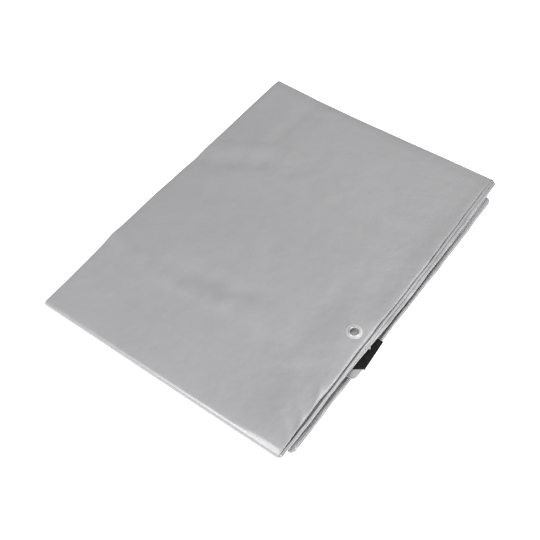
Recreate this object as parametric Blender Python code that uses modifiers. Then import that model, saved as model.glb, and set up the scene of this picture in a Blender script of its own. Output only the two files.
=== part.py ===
"""Folded tarpaulin: one coated sheet, folded in four lengthwise and then back and forth crosswise.

The pack is laid out in metres with +Z up. X runs across its short side, from the left folds to the
hems, Y runs along its long side, from the rolled front fold to the back, and Z = 0 is the surface
it lies on. Everything is worked out from the left front corner, and the whole pack is centred on
the origin at the end.

The cloth is one solid. Its width is folded to four plies: hem A, hem B, and between them a fold on
the right and two nested folds on the left. Those four plies go back and forth along Y as one band,
in five passes. The first pass is a short end, tucked in under the top one.
"""

import math
from collections import namedtuple

import bmesh
import bpy
from mathutils import Matrix, Vector

MM = 0.001

# Driving dimensions
PACK_WIDTH = 0.345
PACK_LENGTH = 0.482
SHEET = 1.0 * MM
PITCH_FRONT = 1.3 * MM
PITCH_BACK = 1.5 * MM
CLEARANCE = 0.3 * MM
PLIES = 4

# The end of the cloth that is tucked in, and where the layers behind it close up
TUCKED_END = 0.188
CLOSE_UP_START = 0.002
CLOSE_UP = 0.070

# How far the lower folds stand back from the front roll and from the back fold
LOWER_FRONT_SETBACK = 0.021
LOWER_BACK_SETBACK = 0.022
LAST_END = 0.025

# The strip of hem that holds an eyelet, and the eyelets
HEM_WIDTH = 0.038
STRIP_HALF = 0.044
EYELET_Y = 0.175
EYELET_FLANGE_RADIUS = 10.0 * MM
EYELET_BARREL_RADIUS = 5.75 * MM
EYELET_HOLE_RADIUS = 5.25 * MM
EYELET_LIP_RADIUS = 8.0 * MM
EYELET_FLANGE = 0.4 * MM
EYELET_RIM = 0.3 * MM
EYELET_RIM_CREST = 0.45 * MM
EYELET_RIM_FOOT = 1.7 * MM
EYELET_LIP = 0.3 * MM
EYELET_ROUNDING = 0.2 * MM
ROUND_STEPS = 32
PUCKER_FLAT = 11.0 * MM
PUCKER_END_X = 20.0 * MM
PUCKER_END_Y = 42.0 * MM

# The corner of the tucked-in end, which sticks out on the right, and its black patch
FLAP_START = 0.126
FLAP_WIDEST = 0.146
FLAP_CORNER = 5.0 * MM
FLAP_REACH_START = 9.4 * MM
FLAP_REACH_WIDEST = 11.2 * MM
FLAP_REACH_END = 9.2 * MM
PATCH = 1.0 * MM
PATCH_INNER = -4.8 * MM
PATCH_RETURN = 4.5 * MM
PATCH_FRONT_INNER = 0.133
PATCH_FRONT_OUTER = 0.145
WEDGE = 0.06

# Soft dips of the top where the cloth was creased before, and the sag of the parts that overhang
CREASE_DEPTH = 0.7 * MM
CREASE_HALF_WIDTH = 14.0 * MM
CREASES_Y = (0.108, 0.322)
FIRM_HEIGHT = 10.0 * MM
SOFT_HEIGHT = 22.0 * MM
FRONT_SAG = 1.6 * MM
BACK_SAG = 1.2 * MM

# How far each edge reaches past PACK_WIDTH on the right, in millimetres, at each station along Y
STATIONS = (0.000, 0.060, 0.120, 0.190, 0.250, 0.310, 0.380, 0.482)
REACH = {
    "top hem A": (-4.2, -4.6, -4.2, -3.6, -2.9, -2.4, -3.0, -3.6),
    "top hem B": (-0.6, 0.6, 0.4, 0.5, 0.6, 0.7, 0.3, -0.1),
    "top fold": (-3.0, -1.5, 0.6, 3.6, 4.3, 4.5, 4.1, 3.9),
    "tucked": (-6.0, -6.0, -6.0, -6.0, -6.0, -6.0, -6.0, -6.0),
    "second": (-6.0, -6.0, -6.0, -5.0, -2.0, 1.5, 2.8, 3.0),
    "lower": (2.0, 2.5, 3.0, 5.1, 6.2, 7.6, 8.6, 8.7),
}

# How far the left fold of the top pass stands in, in millimetres, at each station. How far the
# back fold reaches past PACK_LENGTH, at places spread over PACK_WIDTH as the stations are over
# PACK_LENGTH, and the stretch of Y that is moved with it.
TOP_LEFT = (3.1, 2.4, 0.5, 0.0, 0.2, 1.1, 1.7, 2.8)
BACK_EDGE = (0.0, -1.1, -1.9, -1.7, -0.4, 0.6, 2.4, 4.0)
BACK_EDGE_START = 0.36
BACK_EDGE_FULL = 0.47

# The left folds of the other passes run a little unevenly
LEFT_WANDER = 0.5 * MM
WANDER_RATE = 21.0
WANDER_SHIFT = 1.7

# Rows of points along Y on the straight stretches, besides those at the ends and features
TUCKED_ROWS = (0.06, 0.167)
TOP_ROWS = (0.055, 0.155, 0.40)
LOWER_ROWS = (0.07, 0.13, 0.32, 0.40)
CLOSE_UP_ROWS = (0.03, 0.27, 0.5, 0.75, 1.0)

# One row for each pass of the band. heading is +1 where the pass runs to the back. below counts the
# plies under it, in front of the tucked-in end and behind it. hem_a, hem_b and fold name a row of
# REACH and how many millimetres the edge stands behind it. left is the inset of the left folds.
Pass = namedtuple("Pass", "name heading below_front below_back hem_a hem_b fold left")
TUCKED = Pass("tucked", -1, 12, 12, ("tucked", 0.0), ("tucked", 0.6), ("tucked", 0.2), 3.0)
TOP = Pass("top", +1, 16, 12, ("top hem A", 0.0), ("top hem B", 0.0), ("top fold", 0.0), 0.0)
SECOND = Pass("second", -1, 8, 8, ("second", 0.4), ("second", 0.0), ("second", 1.0), 2.0)
THIRD = Pass("third", +1, 4, 4, ("lower", 3.4), ("lower", 2.4), ("lower", 0.7), 5.0)
LAST = Pass("last", -1, 0, 0, ("lower", 1.8), ("lower", 1.0), ("lower", 0.0), 3.6)

# One place along the band: the middle of its four plies, the direction its first ply lies in, the
# distance between plies, and the passes whose edges it follows
Section = namedtuple("Section", "y z out_y out_z pitch first second mix")

# One place across the band: fraction runs from the left folds (0) to the right edge (1), shift is
# added along X, level counts plies from the middle, and lean is the direction of the cloth's face
Across = namedtuple("Across", "edge fraction shift level lean_x lean_up")


def mixed(a, b, share):
    return a + (b - a) * share


def eased(value, low, high):
    """0 below low, 1 above high, and a smooth step between them."""
    share = min(1.0, max(0.0, (value - low) / (high - low)))
    return share * share * (3.0 - 2.0 * share)


def station_value(values, y):
    """Smooth curve through one row of REACH, in metres."""
    last = len(STATIONS) - 1
    k = 0
    while k < last - 1 and y > STATIONS[k + 1]:
        k += 1
    span = STATIONS[k + 1] - STATIONS[k]
    t = min(1.0, max(0.0, (y - STATIONS[k]) / span))
    before, after = max(0, k - 1), min(last, k + 2)
    slope_a = (values[k + 1] - values[before]) / (STATIONS[k + 1] - STATIONS[before]) * span
    slope_b = (values[after] - values[k]) / (STATIONS[after] - STATIONS[k]) * span
    cubic = (2 * t**3 - 3 * t**2 + 1) * values[k] + (3 * t**2 - 2 * t**3) * values[k + 1]
    return (cubic + (t**3 - 2 * t**2 + t) * slope_a + (t**3 - t**2) * slope_b) * MM


def flap_reach(y):
    """How far the corner of the tucked-in end reaches past PACK_WIDTH, or None off the corner."""
    if y < FLAP_START:
        return None
    if y < FLAP_WIDEST:
        reach = mixed(FLAP_REACH_START, FLAP_REACH_WIDEST, (y - FLAP_START) / (FLAP_WIDEST - FLAP_START))
    else:
        reach = mixed(FLAP_REACH_WIDEST, FLAP_REACH_END, (y - FLAP_WIDEST) / (TUCKED_END - FLAP_WIDEST))
    short = min(FLAP_CORNER, max(0.0, FLAP_START + FLAP_CORNER - y))
    return reach - FLAP_CORNER + math.sqrt(FLAP_CORNER**2 - short**2)


def edge_x(band_pass, edge, y):
    """X of one right edge of a pass: hem_a, hem_b or fold."""
    row, behind = getattr(band_pass, edge)
    x = PACK_WIDTH + station_value(REACH[row], y) - behind * MM
    if band_pass is TUCKED and edge == "hem_a" and flap_reach(y) is not None:
        x = PACK_WIDTH + flap_reach(y)
    return x


def left_x(band_pass, y):
    if band_pass is TOP:
        return station_value(TOP_LEFT, y)
    wander = LEFT_WANDER * math.sin(WANDER_RATE * y + WANDER_SHIFT * band_pass.below_front)
    return band_pass.left * MM + LEFT_WANDER + wander


def back_shift(x, y):
    """How far a place is moved along Y, because the back fold doesn't run straight."""
    edge = station_value(BACK_EDGE, x * PACK_LENGTH / PACK_WIDTH)
    return edge * eased(y, BACK_EDGE_START, BACK_EDGE_FULL)


def pass_section(band_pass, y):
    closed = eased(y, TUCKED_END + CLOSE_UP_START, TUCKED_END + CLOSE_UP)
    pitch = mixed(PITCH_FRONT, PITCH_BACK, closed)
    below = mixed(band_pass.below_front, band_pass.below_back, closed)
    z = SHEET / 2 + pitch * (below + (PLIES - 1) / 2)
    return Section(y, z, 0.0, band_pass.heading, pitch, band_pass, band_pass, 0.0)


def turn_sections(first, second, y_centre, side, steps):
    """Half circle from one pass to the next, at the front (side -1) or at the back (side +1)."""
    start, end = pass_section(first, y_centre), pass_section(second, y_centre)
    rising = 1 if end.z > start.z else -1
    radius = abs(end.z - start.z) / 2
    sign = -rising * first.heading
    sections = []
    for k in range(1, steps):
        angle = math.pi * k / steps
        away_y, away_z = side * math.sin(angle), -rising * math.cos(angle)
        y = y_centre + radius * away_y
        z = (start.z + end.z) / 2 + radius * away_z
        mix = (1 - math.cos(angle)) / 2
        sections.append(Section(y, z, sign * away_y, sign * away_z, start.pitch, first, second, mix))
    return sections


def turn_room(pitch):
    """From the middle of a turn of the band to the outside of its outermost ply."""
    return pitch * (PLIES / 2 + (PLIES - 1) / 2) + SHEET / 2


def band_sections():
    """All places along the band, from the tucked-in end to the last end, and where the top pass is."""
    front = turn_room(PITCH_FRONT)
    back = PACK_LENGTH - turn_room(PITCH_BACK)
    lower_front = LOWER_FRONT_SETBACK + turn_room(PITCH_FRONT)
    lower_back = PACK_LENGTH - LOWER_BACK_SETBACK - turn_room(PITCH_BACK)
    close_up = [TUCKED_END + CLOSE_UP * share for share in CLOSE_UP_ROWS]
    creases = [crease + CREASE_HALF_WIDTH * k for crease in CREASES_Y for k in (-1, -0.4, 0.4, 1)]
    flap = [FLAP_START + FLAP_CORNER * share for share in (-0.05, 0.0, 0.15, 0.5, 1.0)]
    strip_ends = [EYELET_Y + k * (STRIP_HALF + CLEARANCE) for k in (-1, 1)]

    def straight(band_pass, low, high, extra):
        ys = sorted({y for y in [low, high, *extra] if low <= y <= high})
        return [pass_section(band_pass, y) for y in ys[::band_pass.heading]]

    lower = [*LOWER_ROWS, *close_up]
    tucked = straight(TUCKED, front, TUCKED_END, [*TUCKED_ROWS, *flap, FLAP_WIDEST])
    top = straight(TOP, front, back, [*TOP_ROWS, *strip_ends, *creases, *close_up])
    second = straight(SECOND, lower_front, back, lower)
    third = straight(THIRD, lower_front, lower_back, lower)
    last = straight(LAST, LAST_END, lower_back, lower)
    sections = tucked + turn_sections(TUCKED, TOP, front, -1, 8)
    sections += top + turn_sections(TOP, SECOND, back, +1, 6)
    sections += second + turn_sections(SECOND, THIRD, lower_front, -1, 5)
    sections += third + turn_sections(THIRD, LAST, lower_back, +1, 5)
    return sections + last


def ply_across(edge, level, face, fractions):
    return [Across(edge, fraction, 0.0, level, 0.0, face) for fraction in fractions]


def hem_across(edge, level, face, insets):
    return [Across(edge, 1.0, -inset, level, 0.0, face) for inset in insets]


def fold_across(edge, fraction, inset, middle, half, angles, face):
    """Half circle of a lengthwise fold: middle and half count plies, face is +1 or -1."""
    rows = []
    for degrees in angles:
        c, s = math.cos(math.radians(degrees)), math.sin(math.radians(degrees))
        shift = inset + half * PITCH_FRONT * c
        rows.append(Across(edge, fraction, shift, middle + half * s, face * c, face * s))
    return rows


def band_across():
    """All places across the band, from hem A to hem B."""
    left_room = 1.5 * PITCH_FRONT + SHEET / 2
    right_room = 0.5 * PITCH_FRONT + SHEET / 2
    inner = (0.66, 0.33)
    rows = hem_across("hem_a", 1.5, +1, (0.0, HEM_WIDTH, HEM_WIDTH + CLEARANCE))
    rows += ply_across("hem_a", 1.5, +1, inner)
    rows += fold_across("hem_a", 0.0, left_room, 0.0, 1.5, (90, 135, 180, 225, 270), +1)
    rows += ply_across("fold", -1.5, -1, inner[::-1])
    rows += fold_across("fold", 1.0, -right_room, -1.0, 0.5, (-90, -45, 0, 45, 90), +1)
    rows += ply_across("fold", -0.5, +1, inner)
    rows += fold_across("hem_b", 0.0, left_room, 0.0, 0.5, (270, 225, 180, 135, 90), -1)
    rows += ply_across("hem_b", 0.5, -1, inner[::-1])
    rows += hem_across("hem_b", 0.5, -1, (HEM_WIDTH + CLEARANCE, HEM_WIDTH, 0.0))
    return rows


def settled(x, y, z):
    """How far the cloth at a place lies under its even level."""
    soft = eased(z, FIRM_HEIGHT, SOFT_HEIGHT)
    dip = sum(1.0 - eased(abs(y - crease), 0.0, CREASE_HALF_WIDTH) for crease in CREASES_Y)
    front = 1.0 - eased(y, 0.0, LOWER_FRONT_SETBACK)
    back = eased(y, PACK_LENGTH - LOWER_BACK_SETBACK, PACK_LENGTH)
    overhang = FRONT_SAG * front * eased(x, 0.0, PACK_WIDTH) + BACK_SAG * back
    return soft * (CREASE_DEPTH * dip + overhang)


def cloth_point(across, section, side, lift=None):
    """A point on one face of the cloth (side +1 or -1), or in its middle (side 0)."""
    right = mixed(
        edge_x(section.first, across.edge, section.y),
        edge_x(section.second, across.edge, section.y),
        section.mix,
    )
    left = mixed(left_x(section.first, section.y), left_x(section.second, section.y), section.mix)
    x = mixed(left, right, across.fraction) + across.shift
    middle = across.level * section.pitch
    centre = Vector((x, section.y + section.out_y * middle, section.z + section.out_z * middle))
    centre.z -= settled(*centre)
    centre.y += back_shift(centre.x, centre.y)
    if lift is not None:
        centre.z += lift(centre.x, centre.y)
    out = across.lean_up * side * SHEET / 2
    return centre + Vector((across.lean_x * side * SHEET / 2, section.out_y * out, section.out_z * out))


def thick_cloth(across, sections, skipped=(), lift=None):
    """Closed solid of the cells between places across and along the band, without those skipped."""
    mesh = bmesh.new()
    corners = {}

    def corner(side, i, j):
        if (side, i, j) not in corners:
            corners[side, i, j] = mesh.verts.new(cloth_point(across[i], sections[j], side, lift))
        return corners[side, i, j]

    cells = {(i, j) for i in range(len(across) - 1) for j in range(len(sections) - 1)}
    cells -= set(skipped)
    for i, j in sorted(cells):
        ring = ((i, j), (i + 1, j), (i + 1, j + 1), (i, j + 1))
        beyond = ((i, j - 1), (i + 1, j), (i, j + 1), (i - 1, j))
        mesh.faces.new([corner(+1, *place) for place in ring])
        mesh.faces.new([corner(-1, *place) for place in reversed(ring)])
        for k in range(4):
            if beyond[k] not in cells:
                a, b = ring[k], ring[(k + 1) % 4]
                mesh.faces.new([corner(+1, *b), corner(+1, *a), corner(-1, *a), corner(-1, *b)])
    bmesh.ops.recalc_face_normals(mesh, faces=mesh.faces)
    return mesh


def finish_material(name, colour, roughness, metallic=0.0):
    material = bpy.data.materials.new(name)
    material.use_nodes = True
    shader = material.node_tree.nodes["Principled BSDF"]
    shader.inputs["Base Color"].default_value = (*colour, 1.0)
    shader.inputs["Roughness"].default_value = roughness
    shader.inputs["Metallic"].default_value = metallic
    return material


def add_object(name, mesh, material, collection):
    """Object of a bmesh, shaded smooth up to sharp edges."""
    data = bpy.data.meshes.new(name)
    mesh.to_mesh(data)
    mesh.free()
    data.shade_smooth()
    data.set_sharp_from_angle(angle=math.radians(40))
    thing = bpy.data.objects.new(name, data)
    if material is not None:
        data.materials.append(material)
    collection.objects.link(thing)
    return thing


def add_cutter(name, mesh, target, collection):
    cutter = add_object(name, mesh, None, collection)
    cutter.hide_render = True
    cutter.display_type = "WIRE"
    cut = target.modifiers.new("cut", "BOOLEAN")
    cut.operation = "DIFFERENCE"
    cut.solver = "EXACT"
    cut.object = cutter
    return cutter


def add_tarp_sheet(collection, material):
    """The whole cloth, without the strips of the top pass's two hems that hold the eyelets."""
    across, sections = band_across(), band_sections()
    rows = [
        j for j in range(len(sections) - 1)
        if sections[j].first is TOP and sections[j + 1].second is TOP
        and abs((sections[j].y + sections[j + 1].y) / 2 - EYELET_Y) < STRIP_HALF
    ]
    last = len(across) - 2
    skipped = [(i, j) for i in (0, 1, last - 1, last) for j in rows]
    return add_object("tarp_sheet", thick_cloth(across, sections, skipped), material, collection)


# The two hems of the top pass, one row each: the edge it follows, its ply, the way it faces, how
# far the eyelet stands in from the edge, and how far the eyelets push its strip up round them
Hem = namedtuple("Hem", "name edge level face eyelet_inset rise")
LOWER_RISE = 2 * CLEARANCE + EYELET_LIP - (PITCH_FRONT - SHEET)
UPPER_RISE = LOWER_RISE + 3 * CLEARANCE + EYELET_LIP + EYELET_FLANGE - (PITCH_FRONT - SHEET)
HEMS = (
    Hem("upper", "hem_a", 1.5, +1, 17.8 * MM, UPPER_RISE + EYELET_RIM),
    Hem("lower", "hem_b", 0.5, +1, 21.6 * MM, LOWER_RISE),
)


def eyelet_x(hem):
    return edge_x(TOP, hem.edge, EYELET_Y) - hem.eyelet_inset


def hem_lift(hem):
    """The pucker round an eyelet: flat under its flange and fading out along the hem."""
    x_eyelet = eyelet_x(hem)

    def lift(x, y):
        share_x = 1.0 - eased(abs(x - x_eyelet), PUCKER_FLAT, PUCKER_END_X)
        share_y = 1.0 - eased(abs(y - EYELET_Y), PUCKER_FLAT, PUCKER_END_Y)
        return hem.rise * share_x * share_y

    return lift


def eyelet_seat(hem):
    """Middle of the hem's upper face, where the eyelet goes through it."""
    across = Across(hem.edge, 1.0, -hem.eyelet_inset, hem.level, 0.0, hem.face)
    return cloth_point(across, pass_section(TOP, EYELET_Y), +1, hem_lift(hem))


def add_hem_strip(hem, collection, cutters, material):
    """The strip of one hem that holds its eyelet, with the hole that the eyelet goes through."""
    inset = hem.eyelet_inset
    insets = (0.0, inset - PUCKER_FLAT, inset, inset + PUCKER_FLAT, HEM_WIDTH)
    steps = [PUCKER_FLAT * k for k in (-2.8, -1.9, -1.0, 0.0, 1.0, 1.9, 2.8)]
    sections = [pass_section(TOP, EYELET_Y + step) for step in (-STRIP_HALF, *steps, STRIP_HALF)]
    mesh = thick_cloth(hem_across(hem.edge, hem.level, hem.face, insets), sections, (), hem_lift(hem))
    strip = add_object("hem_strip_" + hem.name, mesh, material, collection)
    hole = bmesh.new()
    radius = EYELET_BARREL_RADIUS + CLEARANCE
    place = Matrix.Translation(eyelet_seat(hem) - Vector((0.0, 0.0, SHEET / 2)))
    bmesh.ops.create_cone(
        hole, cap_ends=True, segments=ROUND_STEPS, radius1=radius, radius2=radius,
        depth=4 * SHEET, matrix=place
    )
    add_cutter("hole_" + hem.name, hole, strip, cutters)
    return strip


def eyelet_profile():
    """Radius and height round the eyelet's section, down its outer side first. 0 is the hem's face."""
    flange_low = CLEARANCE
    flange_top = flange_low + EYELET_FLANGE
    lip_top = -SHEET - CLEARANCE
    lip_low = lip_top - EYELET_LIP
    hole, barrel = EYELET_HOLE_RADIUS, EYELET_BARREL_RADIUS
    return (
        (barrel + EYELET_RIM_CREST, flange_top + EYELET_RIM),
        (barrel + EYELET_RIM_FOOT, flange_top + EYELET_ROUNDING / 2),
        (EYELET_FLANGE_RADIUS - 2 * EYELET_ROUNDING, flange_top),
        (EYELET_FLANGE_RADIUS, flange_top - EYELET_ROUNDING),
        (EYELET_FLANGE_RADIUS, flange_low),
        (barrel, flange_low),
        (barrel, lip_top),
        (EYELET_LIP_RADIUS, lip_top),
        (EYELET_LIP_RADIUS, lip_low),
        (hole + EYELET_ROUNDING, lip_low),
        (hole, lip_low + EYELET_ROUNDING),
        (hole, flange_top + EYELET_ROUNDING / 2),
        (hole + 2 * EYELET_ROUNDING, flange_top + EYELET_RIM),
    )


def add_eyelet(hem, collection, material):
    """Turned aluminium eyelet, clinched through one hem."""
    mesh = bmesh.new()
    ring = [mesh.verts.new((radius, 0.0, height)) for radius, height in eyelet_profile()]
    for k, vertex in enumerate(ring):
        mesh.edges.new((vertex, ring[(k + 1) % len(ring)]))
    eyelet = add_object("eyelet_" + hem.name, mesh, material, collection)
    turn = eyelet.modifiers.new("turn", "SCREW")
    turn.angle = math.tau
    turn.steps = ROUND_STEPS
    turn.render_steps = ROUND_STEPS
    turn.use_merge_vertices = True
    turn.merge_threshold = 0.00005
    eyelet.location = eyelet_seat(hem)
    return eyelet


def patch_section(y):
    """Section of the patch: over the corner of the cloth, round its edge and a little way under."""
    cloth = cloth_point(Across("hem_a", 1.0, 0.0, 1.5, 0.0, 1.0), pass_section(TUCKED, y), 0)
    over = cloth.z + SHEET / 2 + CLEARANCE
    under = cloth.z - SHEET / 2 - CLEARANCE
    inside = cloth.x + CLEARANCE
    outside = inside + PATCH
    inner, inner_return = PACK_WIDTH + PATCH_INNER, inside - PATCH_RETURN
    outline = (
        (inner, over), (inside, over), (inside, under), (inner_return, under),
        (inner_return, under - PATCH), (outside, under - PATCH), (outside, over + PATCH),
        (inner, over + PATCH),
    )
    return [Vector((x, y, z)) for x, z in outline]


def add_corner_patch(collection, cutters, material):
    """Black patch sewn round the corner of the cloth, with its front edge cut at a slant."""
    ys = (PATCH_FRONT_INNER - FLAP_CORNER, FLAP_WIDEST, TUCKED_ROWS[-1], TUCKED_END)
    mesh = bmesh.new()
    rings = [[mesh.verts.new(point) for point in patch_section(y)] for y in ys]
    for ring, following in zip(rings, rings[1:]):
        for k in range(len(ring)):
            n = (k + 1) % len(ring)
            mesh.faces.new((ring[k], ring[n], following[n], following[k]))
    mesh.faces.new(rings[0])
    mesh.faces.new(rings[-1][::-1])
    bmesh.ops.recalc_face_normals(mesh, faces=mesh.faces)
    patch = add_object("corner_patch", mesh, material, collection)
    wedge = bmesh.new()
    bmesh.ops.create_cube(wedge, size=WEDGE)
    across = FLAP_REACH_WIDEST - PATCH_INNER
    slant = math.atan2(PATCH_FRONT_OUTER - PATCH_FRONT_INNER, across)
    corner = Vector((PACK_WIDTH + PATCH_INNER, PATCH_FRONT_INNER, patch_section(FLAP_WIDEST)[0].z))
    turned = Matrix.Translation(corner) @ Matrix.Rotation(slant, 4, "Z")
    bmesh.ops.transform(wedge, verts=wedge.verts, matrix=turned @ Matrix.Translation((0, -WEDGE / 2, 0)))
    add_cutter("patch_slant", wedge, patch, cutters)
    return patch


def centre_on_origin(things):
    """Move the pack so that its box is centred on the origin, with its underside at Z = 0."""
    bpy.context.view_layer.update()
    graph = bpy.context.evaluated_depsgraph_get()
    points = []
    for thing in things:
        shown = thing.evaluated_get(graph)
        points += [shown.matrix_world @ Vector(corner) for corner in shown.bound_box]
    low = Vector([min(point[k] for point in points) for k in range(3)])
    high = Vector([max(point[k] for point in points) for k in range(3)])
    shift = Vector((-(low.x + high.x) / 2, -(low.y + high.y) / 2, 0.0))
    for thing in bpy.data.objects:
        thing.location += shift


def main():
    for thing in list(bpy.data.objects):
        bpy.data.objects.remove(thing)
    collection = bpy.data.collections.new("folded_tarp")
    cutters = bpy.data.collections.new("cutters")
    bpy.context.scene.collection.children.link(collection)
    bpy.context.scene.collection.children.link(cutters)

    cloth = finish_material("coated_cloth", (0.40, 0.40, 0.41), 0.42)
    hem_cloth = finish_material("hem_cloth", (0.41, 0.41, 0.42), 0.42)
    aluminium = finish_material("aluminium", (0.80, 0.80, 0.81), 0.25, 1.0)
    black = finish_material("black_webbing", (0.012, 0.012, 0.014), 0.55)

    things = [add_tarp_sheet(collection, cloth)]
    for hem in HEMS:
        things.append(add_hem_strip(hem, collection, cutters, hem_cloth))
        things.append(add_eyelet(hem, collection, aluminium))
    things.append(add_corner_patch(collection, cutters, black))
    centre_on_origin(things)


main()
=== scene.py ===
"""Folded tarpaulin: the looks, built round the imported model.

The cloth is one thin sheet that follows the folds of its solid: four lengthwise plies, laid back and
forth along the pack as one band in five passes. All places on it are worked out in metres from the
left front corner of the pack, with X across to the hems, Y to the back and Z up, and are moved to
the frame at the end.
"""

import math
from collections import namedtuple

import bmesh
import bpy
import numpy as np
from mathutils import Matrix, Vector


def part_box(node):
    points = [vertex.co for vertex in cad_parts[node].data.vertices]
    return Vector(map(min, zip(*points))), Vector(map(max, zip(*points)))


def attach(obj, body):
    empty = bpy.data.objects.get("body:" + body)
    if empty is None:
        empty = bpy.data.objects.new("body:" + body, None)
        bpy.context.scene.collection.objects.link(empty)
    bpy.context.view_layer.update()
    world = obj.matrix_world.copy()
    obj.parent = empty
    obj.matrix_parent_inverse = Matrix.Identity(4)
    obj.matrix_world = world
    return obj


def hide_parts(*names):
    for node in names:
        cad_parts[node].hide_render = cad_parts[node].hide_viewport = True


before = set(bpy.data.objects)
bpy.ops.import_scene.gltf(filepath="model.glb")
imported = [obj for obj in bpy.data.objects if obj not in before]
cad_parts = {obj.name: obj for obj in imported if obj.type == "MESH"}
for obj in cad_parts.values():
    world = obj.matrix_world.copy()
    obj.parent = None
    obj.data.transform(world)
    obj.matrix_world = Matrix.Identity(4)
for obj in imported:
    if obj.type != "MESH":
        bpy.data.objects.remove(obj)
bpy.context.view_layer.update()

ORIGIN = np.array(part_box("tarp_sheet")[0])
MM = 0.001

# The folds, as in the solid, and the sags of what overhangs
PACK_WIDTH = 0.345
PACK_LENGTH = 0.482
PITCH_FRONT = 1.3 * MM
PITCH_BACK = 1.5 * MM
PLIES = 4
SOLID_SHEET = 1.0 * MM
TUCKED_END = 0.188
CLOSE_UP_START = 0.002
CLOSE_UP = 0.070
LOWER_FRONT_SETBACK = 0.021
LOWER_BACK_SETBACK = 0.022
LAST_END = 0.025
HEM_WIDTH = 0.038
EYELET_Y = 0.175
FLAP_START = 0.126
FLAP_WIDEST = 0.146
FLAP_CORNER = 5.0 * MM
FLAP_REACH_START = 9.4 * MM
FLAP_REACH_WIDEST = 11.2 * MM
FLAP_REACH_END = 9.2 * MM
PATCH_INNER = -4.8 * MM
PATCH_RETURN = 4.5 * MM
PATCH_FRONT_INNER = 0.133
PATCH_FRONT_OUTER = 0.145
PATCH_BACK = TUCKED_END + 0.4 * MM
FRONT_SAG = 1.6 * MM
BACK_SAG = 1.2 * MM
ROLL_SAG = 0.85 * MM
ROLL_SAG_REACH = 9.0 * MM
# X where the sag of the roll starts, where it is full and where it falls off to ROLL_SAG_RIGHT
ROLL_SAG_START = 0.02
ROLL_SAG_FULL = 0.22
ROLL_SAG_FALL = 0.27
ROLL_SAG_RIGHT = 0.5
FIRM_HEIGHT = 10.0 * MM
SOFT_HEIGHT = 22.0 * MM

# The cloth itself, what a hem adds to it on one side, and the share of its thickness that is there at
# distances from a hem's edge
SHEET = 0.6 * MM
HEM_EXTRA = 0.2 * MM
HEM_FOLDED = 0.034
RIM = (0.0, 0.12 * MM, 0.4 * MM, 1.2 * MM)
RIM_SHARE = (0.35, 0.7, 0.95, 1.0)
HOLE_RADIUS = 7.0 * MM

# Distances between places along the band, and how many lie on each side of the eyelets
TOP_STEP = 0.0042
LOWER_STEP = 0.0105
TUCKED_STEP = 0.011
EYELET_STEP = 2.0 * MM
EYELET_STEPS = 8

STATIONS = np.array((0.000, 0.060, 0.120, 0.190, 0.250, 0.310, 0.380, 0.482))
REACH = {
    "top hem A": (-4.2, -4.6, -4.2, -3.6, -2.9, -2.4, -3.0, -3.6),
    "top hem B": (-0.6, 0.6, 0.4, 0.5, 0.6, 0.7, 0.3, -0.1),
    "top fold": (-3.0, -1.5, 0.6, 3.6, 4.3, 4.5, 4.1, 3.9),
    "tucked": (-6.0, -6.0, -6.0, -6.0, -6.0, -6.0, -6.0, -6.0),
    "second": (-6.0, -6.0, -6.0, -5.0, -2.0, 2.0, 4.6, 2.6),
    "lower": (2.0, 2.5, 3.0, 5.1, 6.2, 7.6, 8.6, 8.7),
}
# How far the left fold of the top pass stands in, in millimetres, at each station, and how far the
# back fold reaches past PACK_LENGTH at places spread over PACK_WIDTH in the same shares
TOP_LEFT = (3.1, 2.4, 0.5, 0.0, 0.2, 1.1, 1.7, 2.8)
BACK_EDGE = (0.0, -1.1, -1.9, -1.7, -0.4, 0.6, 2.4, 4.0)
BACK_EDGE_START = 0.36
BACK_EDGE_FULL = 0.47
EDGES = ("hem_a", "hem_b", "fold")
Pass = namedtuple("Pass", "name heading below_front below_back hem_a hem_b fold left")
PASSES = (
    Pass("tucked", -1, 12, 12, ("tucked", 0.0), ("tucked", 0.6), ("tucked", 0.2), 3.0),
    Pass("top", +1, 16, 12, ("top hem A", 0.0), ("top hem B", 0.0), ("top fold", 0.0), 0.0),
    Pass("second", -1, 8, 8, ("second", 0.4), ("second", 0.0), ("second", 1.0), 2.0),
    Pass("third", +1, 4, 4, ("lower", 3.4), ("lower", 2.4), ("lower", 0.7), 5.0),
    Pass("last", -1, 0, 0, ("lower", 1.8), ("lower", 1.0), ("lower", 0.0), 3.6),
)
TUCKED, TOP, SECOND, THIRD, LAST = range(5)
Hem = namedtuple("Hem", "name edge level inset rise")
HEMS = (
    Hem("upper", "hem_a", 1.5, 17.8 * MM, 2.2 * MM),
    Hem("lower", "hem_b", 0.5, 21.6 * MM, 0.6 * MM),
)
UPPER, LOWER = HEMS

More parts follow.
